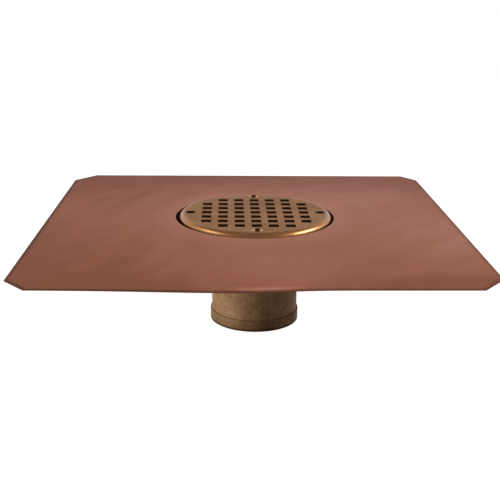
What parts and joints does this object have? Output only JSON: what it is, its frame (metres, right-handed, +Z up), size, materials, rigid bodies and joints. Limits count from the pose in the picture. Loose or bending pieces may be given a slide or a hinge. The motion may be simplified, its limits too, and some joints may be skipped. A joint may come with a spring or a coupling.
{
  "type": "deck drain",
  "caption": "Deck drain: square sheet flashing with clipped corners around a round strainer with square holes, over a cast bowl with a beaded pipe outlet.",
  "frame": {"origin": "centre of the outlet's end, on the drain's axis", "axes": "+Z up along the drain's axis to the strainer, -Y towards the viewer of the picture, +X to the viewer's right"},
  "size_m": [0.3999, 0.4, 0.1102],
  "materials": {
    "sheet_copper": "satin mill finish",
    "cast_bronze": "sand-cast",
    "solder": "dull",
    "satin_bronze": "satin with a polished edge",
    "screw_brass": "bright"
  },
  "bodies": {
    "root": {"flashing": "sheet_copper", "drain_body": "cast_bronze", "solder_seam": "solder", "strainer": "satin_bronze", "strainer_screws": "screw_brass"}
  },
  "joints": []
}
